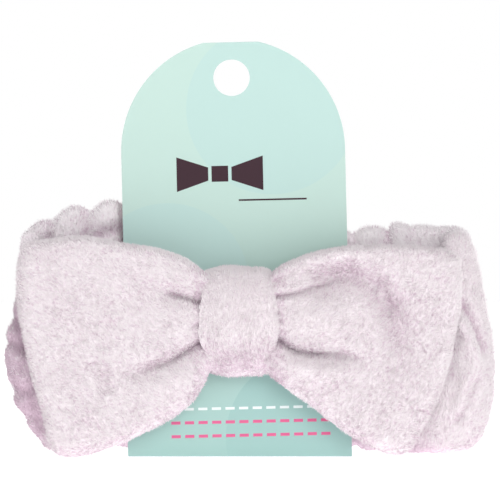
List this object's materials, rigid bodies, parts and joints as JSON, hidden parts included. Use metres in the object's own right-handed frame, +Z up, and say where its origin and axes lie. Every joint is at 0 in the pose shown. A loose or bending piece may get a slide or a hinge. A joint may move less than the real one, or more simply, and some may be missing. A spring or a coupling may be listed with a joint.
{
  "type": "spa headband",
  "caption": "Plush fleece spa headband with a large centre bow, an elastic gathered back and an arched hang card through its loop.",
  "frame": {"origin": "middle of the footprint of the headband on its card, on the level its lower edges stand on", "axes": "+X to the viewer's right along the flattened loop, +Y from the bow to the elastic back, +Z up along the card"},
  "size_m": [0.2199, 0.053, 0.1894],
  "materials": {
    "fleece": "pale lilac short-pile coral fleece",
    "elastic": "off-white woven elastic",
    "thread": "lilac polyester thread",
    "card": "matt mint print on white card"
  },
  "bodies": {
    "front_band": {"front_band_face": "fleece", "front_band_lining": "fleece", "side_seam_left": "fleece", "side_seam_right": "fleece", "knot_wrap": "fleece", "knot_stitches": "thread", "bow_waist": "fleece"},
    "back_band": {"back_casing_outer": "fleece", "back_casing_inner": "fleece", "elastic_strip": "elastic", "elastic_tacks": "thread"},
    "bow_left": {"bow_left_front": "fleece", "bow_left_back": "fleece"},
    "bow_right": {"bow_right_front": "fleece", "bow_right_back": "fleece"},
    "card": {"hang_card": "card"}
  },
  "joints": [
    {"name": "loop_opening", "type": "slide", "parent": "front_band", "child": "back_band", "axis": [0, 1, 0], "range_m": [0, 0.05], "stiffness_N_per_m": 120},
    {"name": "left_wing_lift", "type": "hinge", "parent": "front_band", "child": "bow_left", "pos_m": [-0.0279, -0.0147, 0.0622], "axis": [0, 0, 1], "range_deg": [0, 40], "stiffness_Nm_per_rad": 0.05},
    {"name": "right_wing_lift", "type": "hinge", "parent": "front_band", "child": "bow_right", "pos_m": [0.0182, -0.0147, 0.0622], "axis": [0, 0, -1], "range_deg": [0, 40], "stiffness_Nm_per_rad": 0.05},
    {"name": "card_slide", "type": "slide", "parent": "front_band", "child": "card", "axis": [0, 0, 1], "range_m": [0, 0.125]}
  ]
}
